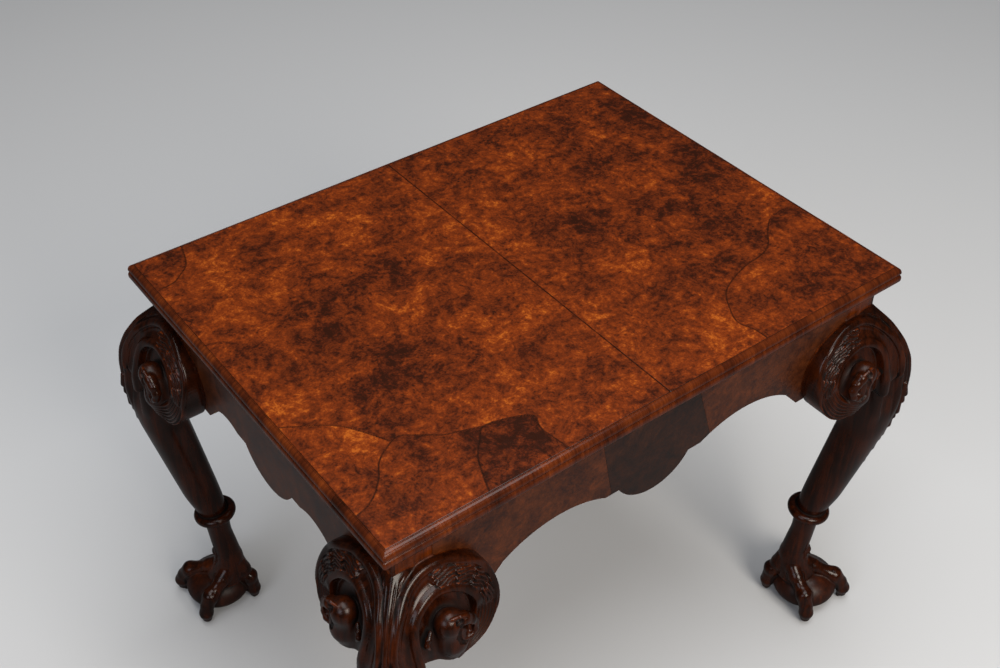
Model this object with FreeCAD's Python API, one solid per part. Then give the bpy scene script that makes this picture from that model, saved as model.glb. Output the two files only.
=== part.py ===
import FreeCAD, Part
import math
import os

# Tray top tea table: a flat burr veneered top with a moulded edge, four shaped aprons and four carved
# cabriole legs on claw and ball feet. Millimetres, Z up, X along the long side, the floor at Z = 0 and
# the origin under the middle of the top.

# Overall sizes
TABLE_HEIGHT = 664.0
TOP_LENGTH = 800.0
TOP_WIDTH = 611.0
TOP_THICKNESS = 23.0
TOP_OVERHANG = 20.5

# Veneer and edge moulding of the top
VENEER = 1.2
MOULDING_WIDTH = 8.0
FASCIA_HEIGHT = 12.0
FASCIA_ROUND = 2.0
QUIRK_DEPTH = 2.6
QUIRK_HEIGHT = 1.6
OVOLO_INSET = 0.8
FILLET_INSET = 7.2
FILLET_HEIGHT = 0.9

# Aprons, all heights measured down from the underside of the top
APRON_CORE = 24.0
LOBE_HALF = 57.0
LOBE_DROP = 150.0
CUSP_DROP = 117.0
SHOULDER = 21.0
FRONT_ARCH_DROP = 98.0
SIDE_ARCH_DROP = 111.0
FOOT_DROP = 150.0
FOOT_INSET = 123.0
FOOT_SLOPE = 24.0
SLOPE_TOP_DROP = 123.0
PANEL_LEFT_TOP = -92.0
PANEL_LEFT_LOW = -62.0
PANEL_RIGHT_TOP = 58.0
PANEL_RIGHT_LOW = 106.0

# Mortise and tenon joints
TENON_THICKNESS = 8.0
TENON_SHOULDER = 24.0
TENON_CLEARANCE = 0.2
TENON_END_GAP = 8.0

# Glue blocks and the screws that hold the top
GLUE_BLOCK = 22.0
GLUE_BLOCK_LENGTH = 60.0
FRONT_BLOCK_SPACING = 300.0
SIDE_BLOCK_SPACING = 180.0
SCREW_SHANK = 4.0
SCREW_HEAD = 8.5
SCREW_HEAD_HEIGHT = 2.6
SCREW_BITE = 12.0
SCREW_CLEARANCE = 0.1

# Leg post and the knee that stands out from its outer corner
POST = 52.0
POST_LENGTH = 168.0
KNEE_BACK_MARGIN = 9.0
KNEE_FLANK = 39.0
KNEE_AXIS = -11.0

# Knee scrolls: a spiral block on the face of post and apron whose front leans back from its foot and turns
# forward to the knee's ridge, with a domed front, a hollow and a carved head in its middle
EYE_INSET = 52.0
EYE_DROP = 120.0
EAR_JOINT = 76.0
SCROLL_BLOCK = 36.0
SCROLL_LEAN = 10.0
SCROLL_TURN = 5.0
SCROLL_ANGLES = (0, 30, 55, 78, 100, 129, 150, 173, 206, 230, 253, 275, 315)
SCROLL_RADII = (74.0, 71.0, 67.0, 74.0, 81.0, 75.0, 69.0, 66.0, 60.0, 58.0, 57.0, 53.0, 53.0)
DOME_RADIUS = 52.0
DOME_ROOT = 8.0
DOME_HEIGHT = 6.0
RIM_RADIUS = 40.0
HOLLOW_DEPTH = 7.0
HEAD_RADIUS = 27.0
HEAD_HEIGHT = 17.0

# Shaft sections. Each row gives the height, how far the front and the back of the section lie out from
# the post's outer corner along the diagonal, and half the width across it. The lower rows rise from the
# floor, the upper ones hang from the top. Softness is the share of each side that rounded corners take.
LOWER_SHAFT = (
    (58.0, 10.0, -49.0, 31.0),
    (92.0, -14.0, -53.0, 19.5),
    (125.0, -9.5, -47.5, 18.5),
    (155.0, -7.0, -42.0, 17.5),
    (190.0, -4.0, -42.0, 19.0),
    (215.0, 7.0, -40.5, 23.5),
    (240.0, 18.0, -37.0, 27.0),
)
LOWER_SOFTNESS = (0.46, 0.46, 0.46, 0.46, 0.46, 0.37, 0.3)
UPPER_SHAFT = (
    (251.0, 61.0, -10.0, 34.0),
    (211.0, 70.0, -19.0, 36.0),
    (181.0, 73.0, -42.0, 36.5),
)
UPPER_SOFTNESS = (0.21, 0.18, 0.16)
# Drop and reach of the knee's front ridge above those sections
KNEE_RIDGE = ((151.0, 72.0), (124.0, 67.0), (96.0, 54.0), (66.0, 31.0))
KNEE_TOP_DROP = 35.0
KNEE_TOP_FRONT = -7.0
KNEE_TOP_HALF = 27.0
KNEE_SOFTNESS = 0.12

# Collar ring at the ankle
RING_HEIGHT = 197.0
RING_OUT = -23.0
RING_RADIUS = 24.5
RING_SECTION = 7.5
RING_TILT = 7.0

# Claw and ball foot, centred close under the post's outer corner
FOOT_OUT = -4.0
BALL_RADIUS = 51.0
BALL_HEIGHT = 64.0
BALL_PAD = 24.0
TOE_COUNT = 4
TOE_REACH = 57.0
ANKLE_OUT = -32.0
ANKLE_RADIUS = 12.0
# Each toe's way from the ankle to its end: the share of the way, and the height and radius there
TOE_SHARES = (0.0, 0.45, 0.8, 1.0, 0.98)
TOE_HEIGHTS = (78.0, 54.0, 40.0, 20.0, 2.0)
TOE_RADII = (12.0, 12.0, 12.5, 10.0, 4.0)

# Derived places
UNDERSIDE = TABLE_HEIGHT - TOP_THICKNESS
FACE_X = TOP_LENGTH / 2 - TOP_OVERHANG
FACE_Y = TOP_WIDTH / 2 - TOP_OVERHANG
DIAGONAL = math.sqrt(0.5)
X_AXIS = FreeCAD.Vector(1, 0, 0)
Y_AXIS = FreeCAD.Vector(0, 1, 0)
Z_AXIS = FreeCAD.Vector(0, 0, 1)
ORIGIN = FreeCAD.Vector(0, 0, 0)
MITRE_NORMAL = FreeCAD.Vector(DIAGONAL, DIAGONAL, 0)
POST_CORNER = FreeCAD.Vector(FACE_X, -FACE_Y, 0)


def vec(x, y, z):
    return FreeCAD.Vector(x, y, z)


def box(low, high):
    """A block between two opposite corners."""
    return Part.makeBox(high[0] - low[0], high[1] - low[1], high[2] - low[2], vec(*low))


def polygon_prism(points, direction):
    """A flat polygon pushed along a direction."""
    return Part.Face(Part.makePolygon(points + points[:1])).extrude(direction)


def from_corner(out, across, z):
    """A point placed from the post's outer corner, along and across the leg's diagonal."""
    x = FACE_X + (out + across) * DIAGONAL
    y = -FACE_Y + (across - out) * DIAGONAL
    return vec(x, y, z)


def line(start, end):
    return Part.makeLine(start, end)


def arc(start, middle, end):
    return Part.Arc(start, middle, end).toShape()


# Top


def top_core():
    """The ground panel inside the edge moulding, with blind holes for the screws."""
    half_length = TOP_LENGTH / 2 - MOULDING_WIDTH
    half_width = TOP_WIDTH / 2 - MOULDING_WIDTH
    panel = box((-half_length, -half_width, UNDERSIDE), (half_length, half_width, TABLE_HEIGHT - VENEER))
    hole_radius = SCREW_SHANK / 2 + SCREW_CLEARANCE
    for x, y in screw_places():
        depth = SCREW_BITE + SCREW_CLEARANCE
        panel = panel.cut(Part.makeCylinder(hole_radius, depth, vec(x, y, UNDERSIDE)))
    return panel


def top_veneer(side):
    """One of the two burr leaves that meet on the short centre line."""
    half_length = TOP_LENGTH / 2 - MOULDING_WIDTH
    half_width = TOP_WIDTH / 2 - MOULDING_WIDTH
    low_x = min(0.0, side * half_length)
    high_x = max(0.0, side * half_length)
    return box((low_x, -half_width, TABLE_HEIGHT - VENEER), (high_x, half_width, TABLE_HEIGHT))


def moulding_face(edge):
    """Cross section of the edge moulding in the YZ plane, its outer edge at Y = -edge."""
    inner = -edge + MOULDING_WIDTH
    quirk_top = UNDERSIDE + FASCIA_HEIGHT + QUIRK_HEIGHT
    ovolo_top = TABLE_HEIGHT - FILLET_HEIGHT
    bow = FASCIA_ROUND * (1 - DIAGONAL)

    def at(outward, z):
        return vec(0, -edge + outward, z)

    ovolo_middle = at(
        FILLET_INSET - (FILLET_INSET - OVOLO_INSET) * DIAGONAL,
        quirk_top + (ovolo_top - quirk_top) * DIAGONAL,
    )
    edges = [
        line(vec(0, inner, UNDERSIDE), at(FASCIA_ROUND, UNDERSIDE)),
        arc(at(FASCIA_ROUND, UNDERSIDE), at(bow, UNDERSIDE + bow), at(0, UNDERSIDE + FASCIA_ROUND)),
        line(at(0, UNDERSIDE + FASCIA_ROUND), at(0, UNDERSIDE + FASCIA_HEIGHT)),
        line(at(0, UNDERSIDE + FASCIA_HEIGHT), at(QUIRK_DEPTH, UNDERSIDE + FASCIA_HEIGHT)),
        line(at(QUIRK_DEPTH, UNDERSIDE + FASCIA_HEIGHT), at(QUIRK_DEPTH, quirk_top)),
        line(at(QUIRK_DEPTH, quirk_top), at(OVOLO_INSET, quirk_top)),
        arc(at(OVOLO_INSET, quirk_top), ovolo_middle, at(FILLET_INSET, ovolo_top)),
        line(at(FILLET_INSET, ovolo_top), at(FILLET_INSET, TABLE_HEIGHT)),
        line(at(FILLET_INSET, TABLE_HEIGHT), vec(0, inner, TABLE_HEIGHT)),
        line(vec(0, inner, TABLE_HEIGHT), vec(0, inner, UNDERSIDE)),
    ]
    return Part.Face(Part.Wire(edges))


def edge_moulding(length, width):
    """The moulding along the front of a length by width rectangle, mitred at both ends."""
    strip = moulding_face(width / 2).extrude(vec(length, 0, 0))
    strip.translate(vec(-length / 2, 0, 0))
    inner = length / 2 - MOULDING_WIDTH
    plan = [
        vec(-length / 2, -width / 2, UNDERSIDE),
        vec(length / 2, -width / 2, UNDERSIDE),
        vec(inner, -width / 2 + MOULDING_WIDTH, UNDERSIDE),
        vec(-inner, -width / 2 + MOULDING_WIDTH, UNDERSIDE),
    ]
    return strip.common(polygon_prism(plan, vec(0, 0, TOP_THICKNESS)))


# Aprons


def apron_face(face_half, arch_drop, y):
    """The shaped front of an apron between two posts, in the XZ plane at the given Y."""
    half = face_half - POST
    foot = face_half - FOOT_INSET
    slope_top = foot - FOOT_SLOPE
    shoulder = LOBE_HALF + SHOULDER
    arch_middle = (shoulder + slope_top) / 2

    def at(x, drop):
        return vec(x, y, UNDERSIDE - drop)

    edges = []
    for side in (1, -1):
        half_edges = [
            line(at(side * half, 0), at(side * half, FOOT_DROP)),
            line(at(side * half, FOOT_DROP), at(side * foot, FOOT_DROP)),
            line(at(side * foot, FOOT_DROP), at(side * slope_top, SLOPE_TOP_DROP)),
            arc(
                at(side * slope_top, SLOPE_TOP_DROP),
                at(side * arch_middle, arch_drop),
                at(side * shoulder, CUSP_DROP),
            ),
            line(at(side * shoulder, CUSP_DROP), at(side * LOBE_HALF, CUSP_DROP)),
        ]
        edges += half_edges
    edges.append(arc(at(LOBE_HALF, CUSP_DROP), at(0, LOBE_DROP), at(-LOBE_HALF, CUSP_DROP)))
    edges.append(line(at(-half, 0), at(half, 0)))
    return Part.Face(Part.Wire(Part.__sortEdges__(edges)))


def apron_core(face_x, face_y, arch_drop):
    """The apron board on the -Y side with a tenon at each end."""
    front = -face_y + VENEER
    board = apron_face(face_x, arch_drop, front).extrude(vec(0, APRON_CORE, 0))
    half = face_x - POST
    tenon_front = front + (APRON_CORE - TENON_THICKNESS) / 2
    reach = half + tenon_length()
    tenon = box(
        (-reach, tenon_front, UNDERSIDE - FOOT_DROP + TENON_SHOULDER),
        (reach, tenon_front + TENON_THICKNESS, UNDERSIDE - TENON_SHOULDER),
    )
    middle = box((-half, -face_y, 0), (half, 0, TABLE_HEIGHT))
    return board.fuse(tenon.cut(middle)).removeSplitter()


def tenon_length():
    """How far a tenon enters the post before it would reach the tenon from the other side."""
    neighbour = VENEER + (APRON_CORE + TENON_THICKNESS) / 2
    return POST - neighbour - TENON_END_GAP


def apron_veneers(face_x, face_y, arch_drop, joints):
    """The face veneer of the apron on the -Y side, cut into leaves at slanted joints."""
    sheet = apron_face(face_x, arch_drop, -face_y).extrude(vec(0, VENEER, 0))
    leaves = []
    low = UNDERSIDE - FOOT_DROP
    edges = [(-face_x, -face_x)] + list(joints) + [(face_x, face_x)]
    for (left_top, left_low), (right_top, right_low) in zip(edges, edges[1:]):
        window = [
            vec(left_top, -face_y, UNDERSIDE),
            vec(right_top, -face_y, UNDERSIDE),
            vec(right_low, -face_y, low),
            vec(left_low, -face_y, low),
        ]
        leaves.append(sheet.common(polygon_prism(window, vec(0, VENEER, 0))))
    return leaves


def block_places():
    """Centre and length direction of each glue block, inside the aprons and under the top."""
    inside = VENEER + APRON_CORE + GLUE_BLOCK / 2
    places = []
    for side in (-1, 1):
        for end in (-1, 1):
            places.append((end * FRONT_BLOCK_SPACING / 2, side * (FACE_Y - inside), True))
            places.append((side * (FACE_X - inside), end * SIDE_BLOCK_SPACING / 2, False))
    return places


def glue_block(x, y, along_x):
    """A rubbed block in the angle of apron and top, bored for one screw."""
    half_x = GLUE_BLOCK_LENGTH / 2 if along_x else GLUE_BLOCK / 2
    half_y = GLUE_BLOCK / 2 if along_x else GLUE_BLOCK_LENGTH / 2
    low = UNDERSIDE - GLUE_BLOCK
    block = box((x - half_x, y - half_y, low), (x + half_x, y + half_y, UNDERSIDE))
    hole = Part.makeCylinder(SCREW_SHANK / 2 + SCREW_CLEARANCE, GLUE_BLOCK, vec(x, y, low))
    return block.cut(hole)


def screw_places():
    return [(x, y) for x, y, along_x in block_places()]


def top_screw(x, y):
    """A round headed screw up through a glue block into the ground of the top."""
    low = UNDERSIDE - GLUE_BLOCK
    shank = Part.makeCylinder(SCREW_SHANK / 2, GLUE_BLOCK + SCREW_BITE, vec(x, y, low))
    head_at = vec(x, y, low - SCREW_HEAD_HEIGHT)
    head = Part.makeCone(SCREW_HEAD / 2 - SCREW_HEAD_HEIGHT / 2, SCREW_HEAD / 2, SCREW_HEAD_HEIGHT, head_at)
    return shank.fuse(head).removeSplitter()


# Legs


def shaft_section(front, back, axis, half_width, softness, z):
    """A closed leg section: a kite whose corners are rounded over a share of each side."""
    swell = 1 / (1 - softness / 2)
    corners = [
        (axis + (front - axis) * swell, 0.0),
        (axis, half_width * swell),
        (axis + (back - axis) * swell, 0.0),
        (axis, -half_width * swell),
    ]
    rounds = []
    for index, corner in enumerate(corners):
        before = corners[index - 1]
        after = corners[(index + 1) % len(corners)]
        start = [c + (b - c) * softness for c, b in zip(corner, before)]
        end = [c + (a - c) * softness for c, a in zip(corner, after)]
        middle = [(2 * c + s + e) / 4 for c, s, e in zip(corner, start, end)]
        rounds.append([from_corner(*place, z) for place in (start, middle, end)])
    edges = []
    for (start, middle, end), (following, *rest) in zip(rounds, rounds[1:] + rounds[:1]):
        edges.append(arc(start, middle, end))
        edges.append(line(end, following))
    return Part.Wire(edges)


def leg_shaft():
    """The curved leg from the foot up through the knee to the post."""
    sections = []
    for (z, front, back, half_width), softness in zip(LOWER_SHAFT, LOWER_SOFTNESS):
        sections.append(shaft_section(front, back, (front + back) / 2, half_width, softness, z))
    for (drop, front, back, half_width), softness in zip(UPPER_SHAFT, UPPER_SOFTNESS):
        z = UNDERSIDE - drop
        sections.append(shaft_section(front, back, (front + back) / 2, half_width, softness, z))
    knee_back = KNEE_BACK_MARGIN - POST / DIAGONAL
    knee_half = POST / DIAGONAL - KNEE_FLANK
    for drop, front in KNEE_RIDGE:
        z = UNDERSIDE - drop
        sections.append(shaft_section(front, knee_back, KNEE_AXIS, knee_half, KNEE_SOFTNESS, z))
    axis = (KNEE_TOP_FRONT + knee_back) / 2
    z = UNDERSIDE - KNEE_TOP_DROP
    sections.append(shaft_section(KNEE_TOP_FRONT, knee_back, axis, KNEE_TOP_HALF, KNEE_SOFTNESS, z))
    return Part.makeLoft(sections, True, True)


def scroll_outline(eye, depth, forward, fall):
    """The spiral outline round the eye, off the face by a depth that grows outwards and falls upwards."""
    points = []
    for degrees, radius in zip(SCROLL_ANGLES, SCROLL_RADII):
        x = radius * math.cos(math.radians(degrees))
        z = radius * math.sin(math.radians(degrees))
        points.append(eye + vec(x, -(depth + forward * x - fall * z), z))
    curve = Part.BSplineCurve()
    curve.interpolate(points, PeriodicFlag=True)
    return Part.Wire(curve.toShape())


def knee_scroll():
    """The scroll on the front face of the right leg, domed round a carved head."""
    forward = math.tan(math.radians(SCROLL_TURN))
    fall = math.tan(math.radians(SCROLL_LEAN))
    eye = vec(FACE_X - EYE_INSET, -FACE_Y, UNDERSIDE - EYE_DROP)
    front = eye - Y_AXIS * SCROLL_BLOCK
    block = Part.makeLoft(
        [scroll_outline(eye, 0, 0, 0), scroll_outline(eye, SCROLL_BLOCK, forward, fall)], True, True
    )
    level = vec(1, -forward, 0).normalize()
    outward = vec(-forward, -1, fall).normalize()

    def at(radius, height):
        return front + level * radius + outward * height

    slope = (DOME_RADIUS + RIM_RADIUS) / 2
    hollow = (HEAD_RADIUS + RIM_RADIUS) / 2
    edges = [
        line(at(0, HEAD_HEIGHT), at(0, -DOME_ROOT)),
        line(at(0, -DOME_ROOT), at(DOME_RADIUS, -DOME_ROOT)),
        line(at(DOME_RADIUS, -DOME_ROOT), at(DOME_RADIUS, 0)),
        arc(at(DOME_RADIUS, 0), at(slope, DOME_HEIGHT * DIAGONAL), at(RIM_RADIUS, DOME_HEIGHT)),
        arc(at(RIM_RADIUS, DOME_HEIGHT), at(hollow, DOME_HEIGHT - HOLLOW_DEPTH), at(HEAD_RADIUS, DOME_HEIGHT)),
        arc(
            at(HEAD_RADIUS, DOME_HEIGHT),
            at(HEAD_RADIUS * DIAGONAL, DOME_HEIGHT + (HEAD_HEIGHT - DOME_HEIGHT) * DIAGONAL),
            at(0, HEAD_HEIGHT),
        ),
    ]
    dome = Part.Face(Part.Wire(edges)).revolve(front, outward, 360)
    return block.fuse(dome)


def inner_side():
    """Everything on the apron side of the glue line between a leg and its ear."""
    return box((0, -TOP_WIDTH, 0), (FACE_X - EAR_JOINT, 0, TABLE_HEIGHT))


def foot():
    """The ball and the toes that grip it."""
    centre = from_corner(FOOT_OUT, 0, 0)
    profile = [
        line(centre, centre + vec(BALL_PAD, 0, 0)),
        arc(
            centre + vec(BALL_PAD, 0, 0),
            centre + vec(BALL_RADIUS, 0, BALL_HEIGHT / 2),
            centre + vec(0, 0, BALL_HEIGHT),
        ),
        line(centre + vec(0, 0, BALL_HEIGHT), centre),
    ]
    pieces = [Part.Face(Part.Wire(profile)).revolve(centre, Z_AXIS, 360)]
    for number in range(TOE_COUNT):
        angle = 2 * math.pi * number / TOE_COUNT
        pieces.append(toe(math.cos(angle), math.sin(angle)))
    return pieces


def toe(along, across):
    """One toe from the ankle over the ball to the floor, swelling at its knuckle."""
    start = from_corner(ANKLE_OUT + ANKLE_RADIUS * along, ANKLE_RADIUS * across, 0)
    end = from_corner(FOOT_OUT + TOE_REACH * along, TOE_REACH * across, 0)
    centres = [start + (end - start) * share + vec(0, 0, z) for share, z in zip(TOE_SHARES, TOE_HEIGHTS)]
    circles = []
    for index, radius in enumerate(TOE_RADII):
        ahead = centres[min(index + 1, len(centres) - 1)]
        behind = centres[max(index - 1, 0)]
        circles.append(Part.Wire(Part.makeCircle(radius, centres[index], ahead - behind)))
    return Part.makeLoft(circles, True, False)


def collar_ring():
    tilt = math.radians(RING_TILT)
    axis = from_corner(math.sin(tilt), 0, math.cos(tilt)) - POST_CORNER
    return Part.makeTorus(RING_RADIUS, RING_SECTION, from_corner(RING_OUT, 0, RING_HEIGHT), axis)


def mortise():
    """The room that a front tenon takes in the right post, with its clearance."""
    shoulder = FACE_X - POST
    front = -FACE_Y + VENEER + (APRON_CORE - TENON_THICKNESS) / 2
    low = UNDERSIDE - FOOT_DROP + TENON_SHOULDER
    high = UNDERSIDE - TENON_SHOULDER
    return box(
        (shoulder, front - TENON_CLEARANCE, low - TENON_CLEARANCE),
        (
            shoulder + tenon_length() + TENON_CLEARANCE,
            front + TENON_THICKNESS + TENON_CLEARANCE,
            high + TENON_CLEARANCE,
        ),
    )


def on_side_face(shape):
    """Carries a shape from the front face of the right front leg round its ridge to the side face."""
    return shape.mirror(POST_CORNER, MITRE_NORMAL)


def leg():
    """The right front leg: post, knee, shaft, ring and foot carved from one piece of walnut."""
    post = box(
        (FACE_X - POST, -FACE_Y, UNDERSIDE - POST_LENGTH),
        (FACE_X, -FACE_Y + POST, UNDERSIDE),
    )
    scroll = knee_scroll().cut(inner_side())
    carved = [leg_shaft(), scroll, on_side_face(scroll), collar_ring()] + foot()
    return post.multiFuse(carved).cut([mortise(), on_side_face(mortise())])


def ear():
    """The inner part of the front scroll, glued to the leg and to the apron's face."""
    return knee_scroll().common(inner_side())


# Assembly


def turned(shape, degrees):
    """A copy turned about the table's upright axis."""
    copy = shape.copy()
    copy.rotate(ORIGIN, Z_AXIS, degrees)
    return copy


def placed(shape, across, along):
    """The right front shape carried to another corner, left when across is -1, back when along is 1."""
    copy = shape.mirror(ORIGIN, X_AXIS) if across < 0 else shape
    return copy.mirror(ORIGIN, Y_AXIS) if along > 0 else copy


def top_nodes():
    nodes = {"top_core": top_core(), "top_veneer_left": top_veneer(-1), "top_veneer_right": top_veneer(1)}
    long_strip = edge_moulding(TOP_LENGTH, TOP_WIDTH)
    short_strip = edge_moulding(TOP_WIDTH, TOP_LENGTH)
    nodes["edge_moulding_front"] = long_strip
    nodes["edge_moulding_back"] = turned(long_strip, 180)
    nodes["edge_moulding_right"] = turned(short_strip, 90)
    nodes["edge_moulding_left"] = turned(short_strip, -90)
    return nodes


def apron_nodes():
    nodes = {}
    panel_joints = ((PANEL_LEFT_TOP, PANEL_LEFT_LOW), (PANEL_RIGHT_TOP, PANEL_RIGHT_LOW))
    sides = (
        ("front", FACE_X, FACE_Y, FRONT_ARCH_DROP, panel_joints, ("_left", "_centre", "_right"), 0),
        ("back", FACE_X, FACE_Y, FRONT_ARCH_DROP, panel_joints, ("_right", "_centre", "_left"), 180),
        ("right", FACE_Y, FACE_X, SIDE_ARCH_DROP, (), ("",), 90),
        ("left", FACE_Y, FACE_X, SIDE_ARCH_DROP, (), ("",), -90),
    )
    for side, across, depth, arch_drop, joints, endings, degrees in sides:
        nodes["apron_" + side] = turned(apron_core(across, depth, arch_drop), degrees)
        leaves = apron_veneers(across, depth, arch_drop, joints)
        for ending, leaf in zip(endings, leaves):
            nodes["apron_veneer_" + side + ending] = turned(leaf, degrees)
    return nodes


def leg_nodes():
    nodes = {}
    right_front_leg = leg()
    front_ear = ear()
    side_ear = on_side_face(front_ear)
    for along, end in ((-1, "front"), (1, "back")):
        for across, hand in ((-1, "left"), (1, "right")):
            corner = end + "_" + hand
            nodes["leg_" + corner] = placed(right_front_leg, across, along)
            nodes["ear_" + corner + "_long"] = placed(front_ear, across, along)
            nodes["ear_" + corner + "_short"] = placed(side_ear, across, along)
    return nodes


def fixing_nodes():
    nodes = {}
    for number, (x, y, along_x) in enumerate(block_places(), 1):
        nodes["glue_block_" + str(number)] = glue_block(x, y, along_x)
    nodes["top_screws"] = Part.makeCompound([top_screw(x, y) for x, y in screw_places()])
    return nodes


def main():
    os.makedirs("parts", exist_ok=True)
    for group in (top_nodes(), apron_nodes(), leg_nodes(), fixing_nodes()):
        for name, shape in group.items():
            if not shape.isValid():
                raise ValueError(name + " is not a valid solid")
            shape.exportStep(os.path.join("parts", name + ".step"))


main()
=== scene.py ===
"""Carved tea table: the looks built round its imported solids, in the same frame."""

import math

import bmesh
import bpy
import numpy as np
import openvdb
from mathutils import Matrix, Vector


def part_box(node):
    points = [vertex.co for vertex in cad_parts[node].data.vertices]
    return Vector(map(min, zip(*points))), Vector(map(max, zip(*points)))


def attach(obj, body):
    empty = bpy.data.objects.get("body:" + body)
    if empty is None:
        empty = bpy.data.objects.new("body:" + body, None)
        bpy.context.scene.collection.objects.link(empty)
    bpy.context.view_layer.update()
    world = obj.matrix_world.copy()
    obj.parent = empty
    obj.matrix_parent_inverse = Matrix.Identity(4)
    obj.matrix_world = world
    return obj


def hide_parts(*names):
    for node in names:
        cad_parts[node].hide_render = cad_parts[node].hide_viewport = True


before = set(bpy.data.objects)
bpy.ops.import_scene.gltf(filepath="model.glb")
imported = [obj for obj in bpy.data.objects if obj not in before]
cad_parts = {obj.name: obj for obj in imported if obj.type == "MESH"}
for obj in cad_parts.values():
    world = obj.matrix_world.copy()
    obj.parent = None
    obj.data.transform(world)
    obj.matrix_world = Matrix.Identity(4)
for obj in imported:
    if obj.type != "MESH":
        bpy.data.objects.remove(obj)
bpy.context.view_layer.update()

bl_info = {
    "name": "Carved tea table",
    "version": (1, 0, 0),
    "blender": (4, 5, 0),
    "location": "View3D > Sidebar > Tea Table",
    "description": "Burr walnut top, moulded edge, shaped aprons and eagle-head cabriole legs",
    "category": "Object",
}

# Places read from the solids, in millimetres
MM = 0.001
FACE_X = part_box("apron_veneer_right")[1].x / MM
FACE_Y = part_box("apron_veneer_back_centre")[1].y / MM
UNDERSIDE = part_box("apron_front")[1].z / MM
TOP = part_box("top_veneer_left")[1].z / MM
EDGE_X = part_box("edge_moulding_right")[1].x / MM
EDGE_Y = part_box("edge_moulding_back")[1].y / MM
FIELD_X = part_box("top_veneer_right")[1].x / MM
FIELD_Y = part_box("top_veneer_right")[1].y / MM
VENEER_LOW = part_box("top_veneer_left")[0].z / MM
DIAGONAL = math.sqrt(0.5)


def linear(code):
    """An sRGB hex colour as linear red, green, blue and alpha."""
    channels = [int(code[place:place + 2], 16) / 255 for place in (1, 3, 5)]
    return tuple(c / 12.92 if c <= 0.04045 else ((c + 0.055) / 1.055) ** 2.4 for c in channels) + (1.0,)


def repeats(size):
    """The texture scale at which a pattern has the given size in millimetres."""
    return 1 / (size * MM)


def even_stops(tones):
    """Hex tones spread evenly along a colour ramp."""
    return [(place / (len(tones) - 1), linear(tone)) for place, tone in enumerate(tones)]


def ease(low, high, value):
    """Zero below low, one above high and a smooth rise between."""
    share = np.clip((value - low) / (high - low), 0, 1)
    return share * share * (3 - 2 * share)


# Materials


def add(tree, kind, inputs=None, out=0, stops=None, **settings):
    """Adds a node with its settings, sets or links its inputs and gives back one output."""
    node = tree.nodes.new("ShaderNode" + kind)
    for name, value in settings.items():
        setattr(node, name, value)
    if stops:
        elements = node.color_ramp.elements
        while len(elements) < len(stops):
            elements.new(1.0)
        for element, (position, colour) in zip(elements, stops):
            element.position = position
            element.color = colour
    for name, value in (inputs or {}).items():
        if isinstance(value, bpy.types.NodeSocket):
            tree.links.new(value, node.inputs[name])
        else:
            node.inputs[name].default_value = value
    return node.outputs[out] if node.outputs else None


def start_material(name):
    material = bpy.data.materials.new(name)
    material.use_nodes = True
    material.node_tree.nodes.clear()
    return material, material.node_tree


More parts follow.
